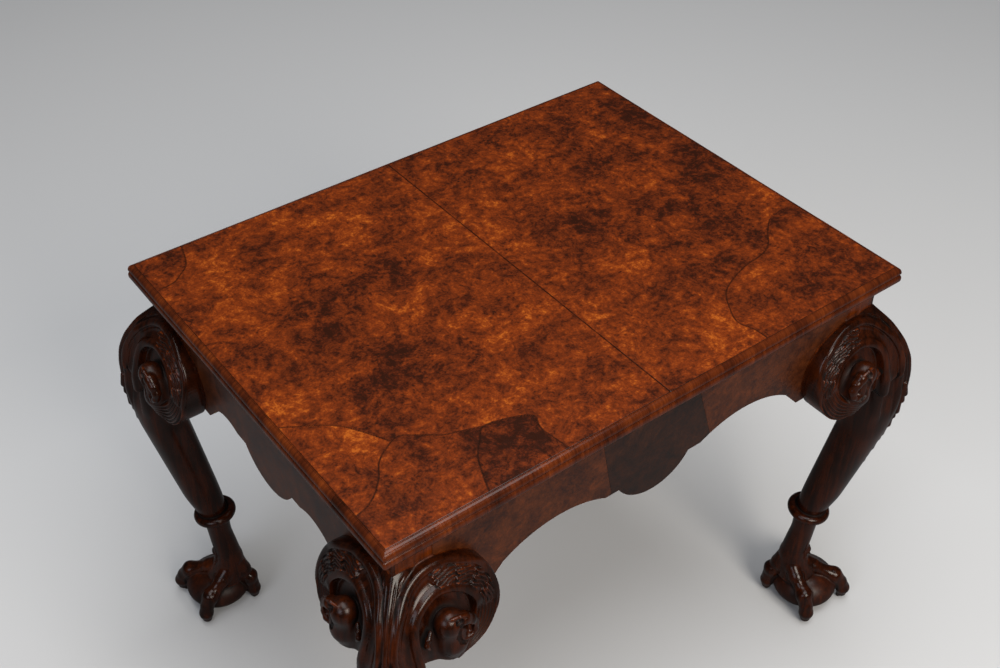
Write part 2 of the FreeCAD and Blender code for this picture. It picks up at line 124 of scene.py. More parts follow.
def burr_walnut(name, tones, roughness, joint_colour=None):
    """Burr walnut veneer, polished: even mottle, clusters of dark pips and a few fine dark strands.

    With a joint colour, the figure changes from leaf to leaf and dirt lies in the joints between them."""
    material, tree = start_material(name)
    place = add(tree, "TexCoord", out="Object")
    if joint_colour:
        leaf = add(tree, "Attribute", out="Fac", attribute_name="leaf")
        number = add(tree, "Math", {0: leaf}, operation="ROUND")
        shift = add(tree, "VectorMath", {0: (0.37, 0.61, 0.23), "Scale": number}, operation="SCALE")
        place = add(tree, "VectorMath", {0: place, 1: shift})
        shade = add(tree, "Attribute", out="Fac", attribute_name="shade")
    wander = add(tree, "TexNoise", {"Vector": place, "Scale": repeats(60), "Detail": 3.0}, out="Color")
    centred = add(tree, "VectorMath", {0: wander, 1: (0.5, 0.5, 0.5)}, operation="SUBTRACT")
    swirl = add(tree, "VectorMath", {0: centred, "Scale": 0.035}, operation="SCALE")
    flow = add(tree, "VectorMath", {0: place, 1: swirl})
    cloud = add(tree, "TexNoise", {"Vector": flow, "Scale": repeats(70), "Detail": 3.0, "Roughness": 0.55})
    mottle = add(
        tree, "TexNoise",
        {"Vector": flow, "Scale": repeats(22), "Detail": 4.0, "Roughness": 0.6, "Distortion": 0.3},
    )
    speck = add(tree, "TexNoise", {"Vector": flow, "Scale": repeats(8), "Detail": 3.0, "Roughness": 0.6})
    fleck = add(tree, "TexNoise", {"Vector": place, "Scale": repeats(2.5), "Detail": 2.0, "Roughness": 0.6})
    strand = add(
        tree, "TexNoise",
        {"Vector": flow, "Scale": repeats(45), "Detail": 5.0, "Roughness": 0.6, "Distortion": 1.2},
    )
    crowd = add(tree, "TexNoise", {"Vector": place, "Scale": repeats(48), "Detail": 2.0})
    if joint_colour:
        crowd = add(tree, "Math", {0: shade, 1: 0.16, 2: crowd}, operation="MULTIPLY_ADD")
    crowded = add(tree, "MapRange", {"Value": crowd, "From Min": 0.5, "From Max": 0.66})
    pip = add(tree, "TexVoronoi", {"Vector": flow, "Scale": repeats(7)}, out="Distance")
    pipped = add(tree, "MapRange", {"Value": pip, "From Min": 0.36, "From Max": 0.06})
    pips = add(tree, "Math", {0: pipped, 1: crowded}, operation="MULTIPLY")
    offset = add(tree, "Math", {0: strand, 1: 0.5}, operation="SUBTRACT")
    distance = add(tree, "Math", {0: offset}, operation="ABSOLUTE")
    strands = add(tree, "MapRange", {"Value": distance, "From Min": 0.012, "From Max": 0.0})

    tone = 0.0
    for part, weight in ((cloud, 0.28), (mottle, 0.28), (speck, 0.27), (fleck, 0.17)):
        tone = add(tree, "Math", {0: part, 1: weight, 2: tone}, operation="MULTIPLY_ADD")
    tone = add(tree, "MapRange", {"Value": tone, "From Min": 0.385, "From Max": 0.615}, clamp=False)
    darker = [(pips, 0.36), (strands, 0.16)]
    # The leaves' shade darkens the figure: cloudy figure, leaf tones and one broad painted shade
    if joint_colour:
        darker.append((shade, 0.25))
    for part, weight in darker:
        tone = add(tree, "Math", {0: part, 1: -weight, 2: tone}, operation="MULTIPLY_ADD")
    colour = add(tree, "ValToRGB", {"Fac": tone}, stops=even_stops(tones))
    if joint_colour:
        joint = add(tree, "Attribute", out="Fac", attribute_name="joint")
        depth = add(
            tree, "MapRange",
            {"Value": mottle, "From Min": 0.35, "From Max": 0.6, "To Min": 0.5, "To Max": 0.95},
        )
        line = add(tree, "MapRange", {"Value": joint, "From Min": 1.6, "From Max": 0.4, "To Max": depth})
        colour = add(tree, "Mix", {0: line, 6: colour, 7: joint_colour}, out=2, data_type="RGBA")
    sheen = add(tree, "MapRange", {"Value": speck, "To Min": roughness - 0.05, "To Max": roughness + 0.07})
    relief = add(tree, "Bump", {"Strength": 0.05, "Distance": 0.0004, "Height": mottle})
    surface = add(
        tree, "BsdfPrincipled",
        {"Base Color": colour, "Roughness": sheen, "IOR": 1.5, "Specular IOR Level": 0.28, "Normal": relief},
    )
    add(tree, "OutputMaterial", {"Surface": surface})
    return material


def cross_grain_walnut(name, along, tones, roughness):
    """Walnut with its grain across the strip, polished: narrow bands of brown that change along its length."""
    material, tree = start_material(name)
    place = add(tree, "TexCoord", out="Object")
    squeeze = [0.12, 0.12, 0.12]
    squeeze[along] = 1.0
    grain = add(tree, "VectorMath", {0: place, 1: squeeze}, operation="MULTIPLY")
    band = add(tree, "TexNoise", {"Vector": grain, "Scale": repeats(38), "Detail": 3.0, "Roughness": 0.55})
    line = add(tree, "TexNoise", {"Vector": grain, "Scale": repeats(4), "Detail": 4.0, "Roughness": 0.7})
    tone = 0.0
    for part, weight in ((band, 0.6), (line, 0.4)):
        tone = add(tree, "Math", {0: part, 1: weight, 2: tone}, operation="MULTIPLY_ADD")
    tone = add(tree, "MapRange", {"Value": tone, "From Min": 0.34, "From Max": 0.66})
    colour = add(tree, "ValToRGB", {"Fac": tone}, stops=even_stops(tones))
    sheen = add(tree, "MapRange", {"Value": line, "To Min": roughness - 0.06, "To Max": roughness + 0.08})
    surface = add(
        tree, "BsdfPrincipled",
        {"Base Color": colour, "Roughness": sheen, "IOR": 1.5, "Specular IOR Level": 0.28},
    )
    add(tree, "OutputMaterial", {"Surface": surface})
    return material


def carved_walnut(name, tones, roughness, shade_and_grime_colour):
    """Dark stained walnut, carved and waxed: grain along the leg, painted shade and old wax dark in the cuts, rubbed on
    the ridges.
    """
    material, tree = start_material(name)
    place = add(tree, "TexCoord", out="Object")
    grain = add(tree, "VectorMath", {0: place, 1: (1.0, 1.0, 0.06)}, operation="MULTIPLY")
    streak = add(tree, "TexNoise", {"Vector": grain, "Scale": repeats(7), "Detail": 5.0, "Roughness": 0.65})
    patch = add(tree, "TexNoise", {"Vector": place, "Scale": repeats(60), "Detail": 3.0})
    tone = 0.0
    for part, weight in ((streak, 0.6), (patch, 0.4)):
        tone = add(tree, "Math", {0: part, 1: weight, 2: tone}, operation="MULTIPLY_ADD")
    tone = add(tree, "MapRange", {"Value": tone, "From Min": 0.22, "From Max": 0.86})
    wear = add(tree, "Attribute", out="Fac", attribute_name="wear")
    tone = add(tree, "Math", {0: wear, 1: 0.4, 2: tone}, operation="MULTIPLY_ADD")
    colour = add(tree, "ValToRGB", {"Fac": tone}, stops=even_stops(tones))
    # Painted shade and old wax: the cuts darken towards the grime colour as far as the carving shuts them in
    shade_and_grime = add(tree, "Attribute", out="Fac", attribute_name="shade_and_grime")
    grime = add(tree, "MapRange", {"Value": shade_and_grime, "From Min": 0.05, "From Max": 0.6, "To Max": 0.85})
    colour = add(tree, "Mix", {0: grime, 6: colour, 7: shade_and_grime_colour}, out=2, data_type="RGBA")
    sheen = add(tree, "MapRange", {"Value": shade_and_grime, "From Max": 0.5, "To Min": roughness, "To Max": 0.6})
    relief = add(tree, "Bump", {"Strength": 0.12, "Distance": 0.0006, "Height": streak})
    surface = add(
        tree, "BsdfPrincipled",
        {"Base Color": colour, "Roughness": sheen, "IOR": 1.5, "Specular IOR Level": 0.28, "Normal": relief},
    )
    add(tree, "OutputMaterial", {"Surface": surface})
    return material


def planed_pine(name):
    """Old softwood, hand planed and never finished: straight resin lines, dry and dulled with age."""
    material, tree = start_material(name)
    place = add(tree, "TexCoord", out="Object")
    grain = add(tree, "VectorMath", {0: place, 1: (0.05, 1.0, 1.0)}, operation="MULTIPLY")
    ring = add(tree, "TexNoise", {"Vector": grain, "Scale": repeats(9), "Detail": 4.0, "Roughness": 0.6})
    grime = add(tree, "TexNoise", {"Vector": place, "Scale": repeats(120), "Detail": 4.0})
    tone = 0.0
    for part, weight in ((ring, 0.65), (grime, 0.35)):
        tone = add(tree, "Math", {0: part, 1: weight, 2: tone}, operation="MULTIPLY_ADD")
    colour = add(
        tree, "ValToRGB", {"Fac": tone},
        stops=[(0.3, linear("#4A2F1A")), (0.5, linear("#7A5230")), (0.7, linear("#93693F"))],
    )
    relief = add(tree, "Bump", {"Strength": 0.25, "Distance": 0.0004, "Height": ring})
    surface = add(tree, "BsdfPrincipled", {"Base Color": colour, "Roughness": 0.75, "Normal": relief})
    add(tree, "OutputMaterial", {"Surface": surface})
    return material


def dull_steel(name):
    """Steel of old screws: grey, with brown specks of rust."""
    material, tree = start_material(name)
    place = add(tree, "TexCoord", out="Object")
    speck = add(tree, "TexNoise", {"Vector": place, "Scale": repeats(2), "Detail": 4.0})
    colour = add(
        tree, "ValToRGB", {"Fac": speck},
        stops=[(0.4, linear("#6E6B66")), (0.62, linear("#5A4A3C"))],
    )
    surface = add(tree, "BsdfPrincipled", {"Base Color": colour, "Metallic": 1.0, "Roughness": 0.5})
    add(tree, "OutputMaterial", {"Surface": surface})
    return material


def pale_floor(name, seen, bounced):
    """Smooth painted floor, pale and matt, and greyer in what it throws back on the table."""
    material, tree = start_material(name)
    camera = add(tree, "LightPath", out="Is Camera Ray")
    colour = add(tree, "Mix", {0: camera, 6: bounced, 7: seen}, out=2, data_type="RGBA")
    surface = add(tree, "BsdfPrincipled", {"Base Color": colour, "Roughness": 0.7, "Specular IOR Level": 0.2})
    add(tree, "OutputMaterial", {"Surface": surface})
    return material


# Meshes


def place_piece(name, mesh, material, replaced):
    """A piece of one material that rides on the table and stands for the named solids."""
    mesh.materials.clear()
    mesh.materials.append(material)
    piece = bpy.data.objects.new(name, mesh)
    bpy.context.scene.collection.objects.link(piece)
    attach(piece, "root")
    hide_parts(*replaced)
    return piece


def new_piece(name, points, faces, material, replaced):
    """A smoothly shaded piece from points in millimetres and its faces."""
    mesh = bpy.data.meshes.new(name)
    mesh.from_pydata(np.asarray(points) * MM, [], faces)
    mesh.validate()
    mesh.polygons.foreach_set("use_smooth", [True] * len(mesh.polygons))
    return place_piece(name, mesh, material, replaced)


def point_values(piece, name, values):
    """Stores one number for each point of a piece, for its material to read."""
    layer = piece.data.attributes.new(name, "FLOAT", "POINT")
    layer.data.foreach_set("value", np.asarray(values, np.float32))


def softened(node, name, width, material):
    """A copy of a solid with its sharp arrises rounded, as a hand plane and wear leave them."""
    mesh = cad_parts[node].data.copy()
    mesh.name = name
    form = bmesh.new()
    form.from_mesh(mesh)
    bmesh.ops.remove_doubles(form, verts=form.verts, dist=0.00001)
    bmesh.ops.dissolve_limit(form, angle_limit=math.radians(1), verts=form.verts, edges=form.edges)
    sharp = [edge for edge in form.edges if edge.is_manifold and edge.calc_face_angle() > math.radians(35)]
    bmesh.ops.bevel(
        form, geom=sharp, offset=width * MM, offset_type="OFFSET", segments=2, profile=0.5,
        affect="EDGES", clamp_overlap=True,
    )
    form.to_mesh(mesh)
    form.free()
    mesh.polygons.foreach_set("use_smooth", [False] * len(mesh.polygons))
    place_piece(name, mesh, material, [node])


# Top

# Joints between the patched burr leaves, as points along each cut line in millimetres
CORNER_CUT = ((-410, 229), (-372, 231), (-352, 243), (-335, 262), (-318, 320))
WEDGE_CUT = ((-410, -66), (-345, -107), (-322, -135), (-303, -169))
FRONT_CUT = (
    (-410, -246), (-370, -234), (-345, -212), (-330, -190), (-312, -177), (-292, -169), (-272, -181),
    (-250, -197), (-228, -205), (-205, -213),
)
DARK_CUT = (
    (-268, -320), (-243, -255), (-222, -228), (-205, -213), (-172, -221), (-150, -234), (-156, -258), (-146, -320),
)
ROUND_CUT = (
    (158, -320), (158, -280), (151, -255), (160, -232), (185, -200), (235, -180), (270, -175), (295, -165),
    (318, -142), (350, -120), (410, -112),
)
# Cloudy darker or lighter places in the figure, one of them a broad painted shade: centre, half sizes and depth,
# lighter where negative
CLOUDS = (
    (-265, 235, 40, 45, 0.5), (-230, 60, 60, 80, 0.6), (-250, -65, 75, 40, 0.6), (-145, 85, 32, 40, 0.5),
    (-105, -15, 45, 22, 0.4), (-60, -80, 26, 32, 0.6), (-250, -150, 45, 40, 0.45), (-70, -135, 55, 22, 0.4),
    (40, 185, 45, 55, 0.55), (80, 248, 30, 30, 0.4), (265, 240, 65, 42, 0.7), (180, 150, 70, 30, 0.45),
    (270, 100, 90, 45, 0.5), (140, 10, 50, 42, 0.55), (345, 5, 50, 26, 0.8), (265, -45, 48, 50, 0.7),
    (290, -130, 55, 45, 0.85), (35, -222, 18, 14, 0.5), (75, -218, 18, 14, 0.5), (125, -214, 24, 14, 0.5),
    (192, -222, 22, 22, 0.6), (355, -255, 32, 40, 0.6), (-215, -20, 45, 12, 0.5), (70, -85, 30, 26, 0.4),
    (-350, 170, 40, 70, -0.45), (-370, -60, 25, 40, -0.4), (-335, -135, 35, 40, -0.5), (-100, 200, 40, 55, -0.45),
    (-25, 150, 32, 42, -0.5), (110, 85, 60, 32, -0.45), (35, 60, 24, 40, -0.35), (130, -70, 40, 25, -0.4),
    (352, -165, 32, 60, -0.5), (-70, -265, 65, 20, -0.55), (90, -268, 75, 24, -0.65), (-30, -95, 30, 14, -0.4),
    # The broad cloud at (300, 80) is painted shade, darker over the right-back of the top where less light falls
    (300, 80, 130, 190, 0.35), (300, 262, 70, 22, -0.45), (215, -268, 32, 18, -0.5), (-170, 180, 40, 60, -0.3),
    (-20, -170, 40, 20, -0.4),
)
CLOUD_DEPTH = 0.9
# How much darker each leaf is than the main one: main, corner, wedge, front, dark and round leaf
LEAF_TONES = (0.0, 0.3, -0.25, 0.05, 1.1, 0.25)
# Points along and across one half of the top, about 1.6 mm apart
LEAF_GRID = (246, 372)
JOINT_DEPTH, JOINT_WIDTH = 0.03, 1.5


def smooth_line(points, steps=8):
    """A smooth line through points, as a list of closer points."""
    ends = [points[0], *points, points[-1]]
    line = []
    for before, start, end, after in zip(ends, ends[1:], ends[2:], ends[3:]):
        before, start, end, after = map(np.array, (before, start, end, after))
        for share in np.arange(steps) / steps:
            bend = (
                2 * start + (end - before) * share + (2 * before - 5 * start + 4 * end - after) * share ** 2
                + (3 * start - before - 3 * end + after) * share ** 3
            )
            line.append(bend / 2)
    return np.array(line + [points[-1]], float)


def gap_to_line(x, y, line):
    """The distance of each point from a line of many points."""
    nearest = np.full(x.shape, 1e9)
    for (x0, y0), (x1, y1) in zip(line, line[1:]):
        run, rise = x1 - x0, y1 - y0
        share = np.clip(((x - x0) * run + (y - y0) * rise) / (run * run + rise * rise), 0, 1)
        nearest = np.minimum(nearest, np.hypot(x - x0 - share * run, y - y0 - share * rise))
    return nearest


def inside(x, y, outline):
    """Which points lie inside a closed outline."""
    within = np.zeros(x.shape, bool)
    for (x0, y0), (x1, y1) in zip(outline, np.roll(outline, -1, axis=0)):
        if y0 != y1:
            crosses = (y0 > y) != (y1 > y)
            within ^= crosses & (x < (x1 - x0) * (y - y0) / (y1 - y0) + x0)
    return within


def leaf_layout(x, y):
    """Leaf number, distance to the nearest joint and cloudy shade of each point of the top."""
    corner, wedge, front, dark, rounded = map(
        smooth_line, (CORNER_CUT, WEDGE_CUT, FRONT_CUT, DARK_CUT, ROUND_CUT)
    )
    front_left = front[:front.shape[0] // 2 + 2]
    outlines = (
        np.vstack([corner, [(-410, 320)]]),
        np.vstack([wedge, front_left[::-1]]),
        np.vstack([front, dark[len(dark) * 3 // 7::-1], [(-410, -320)]]),
        dark,
        np.vstack([rounded, [(410, -320)]]),
    )
    leaf = np.zeros(x.shape)
    for number, outline in enumerate(outlines, 1):
        leaf[inside(x, y, outline)] = number
    joint = np.minimum(np.abs(x), np.minimum(FIELD_X - np.abs(x), FIELD_Y - np.abs(y)))
    for line in (corner, wedge, front, dark):
        joint = np.minimum(joint, gap_to_line(x, y, line))
    joint = np.minimum(joint, gap_to_line(x, y, rounded) + np.clip(x - 325, 0, None) / 30)
    shade = np.zeros(x.shape)
    for centre_x, centre_y, half_x, half_y, depth in CLOUDS:
        shade += CLOUD_DEPTH * depth * np.exp(-(((x - centre_x) / half_x) ** 2 + ((y - centre_y) / half_y) ** 2))
    shade += np.array(LEAF_TONES)[leaf.astype(int)]
    return leaf, joint, shade


def top_leaf(side, material):
    """One half of the veneered top as a fine sheet, eased at its edge and sunk a hair along each joint."""
    low, high = sorted((0.0, side * FIELD_X))
    xs = np.linspace(low, high, LEAF_GRID[0])
    ys = np.linspace(-FIELD_Y, FIELD_Y, LEAF_GRID[1])
    x, y = (values.ravel() for values in np.meshgrid(xs, ys, indexing="ij"))
    leaf, joint, shade = leaf_layout(x, y)
    z = TOP - JOINT_DEPTH * np.exp(-((joint / JOINT_WIDTH) ** 2))
    z += 0.03 * np.sin(x / 61 + 0.4) * np.sin(y / 47)
    count, rows = x.size, len(ys)
    index = np.arange(count).reshape(len(xs), rows)
    sheet = np.stack([index[:-1, :-1], index[1:, :-1], index[1:, 1:], index[:-1, 1:]], -1).reshape(-1, 4)
    rim = np.concatenate([index[:, 0], index[-1, 1:], index[-2::-1, -1], index[0, -2:0:-1]])
    wall = count + np.arange(rim.size)
    following = np.roll(np.arange(rim.size), -1)
    sides = np.stack([rim[following], rim, wall, wall[following]], -1)
    points = np.concatenate([
        np.stack([x, y, z], -1),
        np.stack([x[rim], y[rim], np.full(rim.size, VENEER_LOW)], -1),
    ])
    faces = sheet.tolist() + sides.tolist() + [wall[::-1].tolist()]
    hand = "left" if side < 0 else "right"
    piece = new_piece("top_leaf_" + hand, points, faces, material, ["top_veneer_" + hand])
    for name, values in (("leaf", leaf), ("joint", joint), ("shade", shade)):
        point_values(piece, name, np.concatenate([values, values[rim]]))


# Moulded edge

# Half outline of the moulding: distance in from the table's edge and height above the underside
MOULDING = (
    (8.0, 0.0), (4.2, 0.0), (2.7, 0.25), (1.5, 0.9), (0.6, 1.9), (0.15, 3.2), (0.0, 4.8), (0.0, 6.6), (0.2, 8.0),
    (0.7, 9.4), (1.4, 10.5), (2.2, 11.3), (3.0, 11.8), (3.4, 12.2), (3.4, 13.0), (2.9, 13.45), (1.3, 13.65),
    (0.85, 14.0), (0.85, 15.2), (1.15, 16.7), (1.7, 18.2), (2.5, 19.6), (3.5, 20.7), (4.7, 21.5), (5.9, 21.95),
    (6.6, 22.05), (6.9, 22.15), (7.0, 22.8), (7.2, 23.0), (8.0, 23.0),
)
CORNER_ROUND = 3.0


def edge_strip(name, length, width, quarter, material):
    """One strip of the moulded edge along the front of a rectangle, mitred, then turned by quarter turns."""
    half_length, half_width = length / 2, width / 2
    inset = np.array([point[0] for point in MOULDING])
    height = np.array([point[1] for point in MOULDING]) + UNDERSIDE
    rounding = np.clip(CORNER_ROUND * (1 - inset / 7), 0, None)
    rings = []
    angles = np.radians(np.linspace(45, 0, 7))
    for angle in angles:
        x = half_length - inset - rounding + rounding * np.sin(angle)
        y = half_width - inset - rounding + rounding * np.cos(angle)
        rings.append(np.stack([x, -y, height], -1))
    for share in np.linspace(1, -1, 61)[1:-1]:
        x = (half_length - inset - rounding) * share
        sag = 0.1 * np.sin(7 * share) + 0.07 * np.sin(19 * share + quarter)
        rings.append(np.stack([x, -(half_width - inset) - sag * (inset < 7.5), height], -1))
    for ring in rings[6::-1]:
        rings.append(ring * (-1, 1, 1))
    count = len(MOULDING)
    index = np.arange(len(rings) * count).reshape(len(rings), count)
    after = np.roll(index, -1, axis=1)
    faces = np.stack([index[:-1], after[:-1], after[1:], index[1:]], -1).reshape(-1, 4).tolist()
    faces += [index[0][::-1].tolist(), index[-1].tolist()]
    points = np.concatenate(rings) @ np.array(Matrix.Rotation(quarter * math.pi / 2, 3, "Z")).T
    new_piece("moulding_" + name, points, faces, material, ["edge_moulding_" + name])


# Legs

# Middle of the carved head: distance along the face from the post's corner, and height
EYE_A = -52.0
EYE_Z = 521.0
POST = 52.0
POST_LOW = 473.0
# Leg shaft: height, front and back along the diagonal, widest place, half width and squareness
SHAFT = (
    (40, 14, -52, -19, 33, 2.0), (50, 14, -52, -19, 33, 2.0), (70, 0, -52, -26, 25, 2.0),
    (92, -14, -53, -33, 19.5, 2.0), (125, -9.5, -47.5, -28, 18.5, 2.0), (155, -7, -42, -24.5, 17.5, 2.0),
    (190, -4, -42, -23, 19, 2.0), (215, 7, -40.5, -17, 23.5, 1.9), (240, 18, -37, -9, 26.5, 1.85),
    (390, 61, -10, 25, 33, 1.65), (430, 70, -19, 25, 34, 1.55), (460, 73, -42, 15, 33, 1.45),
    (490, 72, -64, -5, 29, 1.4), (517, 67, -64, -11, 27, 1.4), (545, 54, -64, -14, 26, 1.4),
    (575, 31, -64, -18, 25, 1.4), (606, -7, -64, -36, 25, 1.4), (625, -34, -64, -49, 20, 1.4),
)
# How far the scroll's front stands off the face at each height about the eye, and how much more outwards
SCROLL_FRONT = (
    (-90, 15), (-81, 25), (-70, 36), (-60, 43), (-49, 45.5), (-25, 44), (-8, 39), (8, 34.5), (22, 30), (34, 26),
    (46, 22), (58, 17), (66, 12.5), (75, 8), (90, 2),
)
SCROLL_SPREAD = 0.09
# Angle about the eye and radius of the scroll's outline, of its outer lip and of the broad rim inside it
SCROLL_EDGE = (
    (-110, 63), (-90, 62.5), (-60, 62), (-45, 66), (-30, 80), (0, 87), (30, 81.5), (45, 80), (60, 80), (75, 80),
    (87, 77.5), (105, 74), (117, 73), (128, 72.5), (139, 71.5), (151, 70.5), (161, 69), (173, 68), (187, 66.5),
    (206, 64), (238, 63), (250, 63),
)
SCROLL_LIP = ((-60, 83), (0, 83), (18, 79), (30, 77), (45, 76), (60, 76), (75, 75.5), (87, 73), (110, 69.5))
SCROLL_RIM = (
    (-60, 52), (-11, 53), (14, 53), (25, 54), (37, 53.5), (51, 51.5), (65, 49.5), (75, 48), (86, 44.5), (106, 40),
    (134, 37.2), (164, 37.6), (200, 37),
)
# Angles at which the rows of neck feathers begin, and how many feathers lie side by side in each
FEATHER_TIPS = (79, 107, 135, 160, 186)
FEATHERS_IN_ROW = (2, 3, 3, 3)
BARB_SPACING = 4.6
# Collar ring: height, distance behind the post's corner, radius, thickness and lean
RING_HEIGHT, RING_BACK, RING_RADIUS, RING_THICK = 197, 23, 25.0, 7.0
RING_LEAN = math.radians(7)
# Leaf teeth down the front of the leg: how many, height of the first and spacing
TEETH, FIRST_TOOTH, TOOTH_SPACING = 11, 472, 15.5
# One toe of the foot: share of its way out, height and radius at each place
TOE = (
    (0.0, 80, 13), (0.32, 66, 13), (0.56, 58, 10.5), (0.8, 50, 13.5), (0.97, 36, 10.5), (1.05, 22, 11),
    (1.05, 11, 7.5), (1.0, 4, 4),
)
CAVITY_REACH, WEAR_REACH, SIDE_REACH = 3.5, 2.5, 1.5


def soft_min(first, second, blend):
    mix = np.clip(0.5 + 0.5 * (second - first) / blend, 0, 1)
    return second + (first - second) * mix - blend * mix * (1 - mix)


def smooth_table(value, table, spread):
    """The columns of a table read at a value, rounded off over a spread."""
    table = np.array(table, float)
    fine = np.arange(table[0, 0], table[-1, 0] + 1.0)
    reach = 3 * spread
    kernel = np.exp(-((np.arange(-reach, reach + 1) / spread) ** 2))
    kernel /= kernel.sum()
    columns = []
    for column in table.T[1:]:
        values = np.pad(np.interp(fine, table[:, 0], column), reach, mode="edge")
        columns.append(np.interp(value, fine, np.convolve(values, kernel, mode="valid")).astype(np.float32))
    return columns


class Block:
    """A block of walnut kept as distances to its carved surface, in millimetres and negative inside.

    Axes a and b run outwards from the two faces of the post and z runs up from the floor."""

    far = 12.0

    def __init__(self, low, high, step):
        self.step = step
        self.axes = [np.arange(start, end + step, step, dtype=np.float32) for start, end in zip(low, high)]
        self.field = np.full([len(axis) for axis in self.axes], self.far, np.float32)

    def window(self, low, high):
        """The part of the block between two corners, with its coordinates."""
        parts = []
        for axis, start, end in zip(self.axes, low, high):
            first, last = np.searchsorted(axis, (start, end))
            parts.append(slice(first, max(last, first + 1)))
        a, b, z = (axis[part] for axis, part in zip(self.axes, parts))
        return tuple(parts), a[:, None, None], b[None, :, None], z[None, None, :]

    def join(self, where, distance, blend):
        self.field[where] = soft_min(self.field[where], distance, blend)

    def cut(self, where, distance, blend):
        self.field[where] = -soft_min(-self.field[where], distance, blend)

    def limb(self, points, radii, blend, cutting=False):
        """A rounded bar through points, with its own thickness at each."""
        points = np.array(points, np.float32)
        reach = max(radii) + blend + 3
        where, a, b, z = self.window(points.min(0) - reach, points.max(0) + reach)
        bar = None
        for start, end, thick, thin in zip(points, points[1:], radii, radii[1:]):
            run = end - start
            da, db, dz = a - start[0], b - start[1], z - start[2]
            share = np.clip((da * run[0] + db * run[1] + dz * run[2]) / run.dot(run), 0, 1)
            gap = np.sqrt((da - share * run[0]) ** 2 + (db - share * run[1]) ** 2 + (dz - share * run[2]) ** 2)
            gap = gap - (thick + share * (thin - thick))
            bar = gap if bar is None else soft_min(bar, gap, 2.0)
        (self.cut if cutting else self.join)(where, bar, blend)

    def egg(self, centre, radii, blend, cutting=False):
        """An egg shape with a radius along each axis."""
        reach = np.array(radii) + blend + 3
        where, a, b, z = self.window(np.array(centre) - reach, np.array(centre) + reach)
        scaled = sum(((c - m) / r) ** 2 for c, m, r in zip((a, b, z), centre, radii))
        (self.cut if cutting else self.join)(where, (np.sqrt(scaled) - 1) * min(radii), blend)

    def sample(self, places):
        """The distance at any places, each between its eight neighbours."""
        low = np.array([axis[0] for axis in self.axes])
        spot = (places - low) / self.step
        top = np.array(self.field.shape) - 2
        corner = np.clip(np.floor(spot).astype(int), 0, top)
        share = np.clip(spot - corner, 0, 1)
        total = np.zeros(len(places))
        for bits in np.ndindex(2, 2, 2):
            weight = np.prod(np.where(bits, share, 1 - share), axis=1)
            total += weight * self.field[tuple((corner + bits).T)]
        return total


def on_leg(out, across, z):
    """A place along and across the leg's diagonal, as block coordinates."""
    return ((out + across) * DIAGONAL, (out - across) * DIAGONAL, z)


def on_face(u, b, w):
    """A place on the front face about the scroll's eye, as block coordinates."""
    return (EYE_A + u, b, EYE_Z + w)


def carve_shaft(block):
    where, a, b, z = block.window((-76, -76, 50), (60, 60, 626))
    front, back, axis, half, power = smooth_table(z, SHAFT, 9)
    out = (a + b) * np.float32(DIAGONAL)
    across = np.abs(a - b) * np.float32(DIAGONAL)
    reach = np.where(out > axis, front - axis, axis - back)
    along = np.maximum(np.abs(out - axis) / reach, 0.001)
    side = np.maximum(across / half, 0.001)
    size = np.maximum((along ** power + side ** power) ** (1 / power), 0.05)
    slope = np.sqrt((along ** (power - 1) / reach) ** 2 + (side ** (power - 1) / half) ** 2) * size ** (1 - power)
    distance = np.maximum((size - 1) / np.maximum(slope, 0.004), np.maximum(52 - z, z - 624))
    block.join(where, np.clip(distance, -20, 20), 1.0)
    where, a, b, z = block.window((-POST - 4, -POST - 4, POST_LOW - 4), (4, 4, UNDERSIDE + 4))
    middle = -POST / 2
    post = np.maximum(np.abs(a - middle), np.abs(b - middle)) + middle
    block.join(where, np.maximum(post, np.maximum(POST_LOW - z, z - UNDERSIDE)), 2.0)


def polar(u, w):
    """Radius and angle in degrees about the scroll's eye, the angle from -110 below to 250 round the inner side."""
    angle = np.degrees(np.arctan2(w, u))
    return np.hypot(u, w), np.where(angle < -110, angle + 360, angle)


def carve_scroll(block):
    where, a, b, z = block.window((-130, -1, 425), (46, 60, 618))
    u, w = a - EYE_A, z - EYE_Z
    radius, angle = polar(u, w)
    side = radius - smooth_table(angle, SCROLL_EDGE, 5)[0]
    face = b - smooth_table(w, SCROLL_FRONT, 5)[0] - SCROLL_SPREAD * u * ease(64, 40, w)
    body = -soft_min(-face, -side, 4.5)
    block.join(where, np.maximum(body, -0.4 - b).astype(np.float32), 3.0)


def bead(offset, half):
    """The height of a round bead of the given half width across its middle, as a share."""
    return np.sqrt(np.clip(1 - (offset / half) ** 2, 0, 1))


def feather_relief(radius, angle, inner, outer):
    """Rows of overlapping neck feathers, each with its barbs, raised and scalloped at the tip."""
    share = (radius - inner) / (outer - inner)
    relief = np.zeros(radius.shape)
    for row, count in enumerate(FEATHERS_IN_ROW):
        tip, following = FEATHER_TIPS[row], FEATHER_TIPS[row + 1]
        place = share * count + 0.5 * (row % 2)
        across = 2 * (place - np.floor(place)) - 1
        groove = np.abs(np.sin(math.pi * (radius + 1.5 * np.sin(angle / 6 + 2 * row)) / BARB_SPACING))
        start = tip + 7.0 * across ** 2 - 2.4 * groove
        run = np.clip((angle - start) / (following - tip + 7), 0, 1)
        height = 4.4 - 4.0 * run + 0.8 * (1 - across ** 2)
        height -= 2.8 * (1 - groove ** 0.7) * ease(0.0, 0.08, run)
        height -= 1.4 * ease(0.8, 1.0, np.abs(across))
        cover = ease(0.0, 1.6, angle - start)
        relief = relief * (1 - cover) + height * cover
    return relief * ease(0.0, 0.08, share) * ease(1.03, 0.97, share)


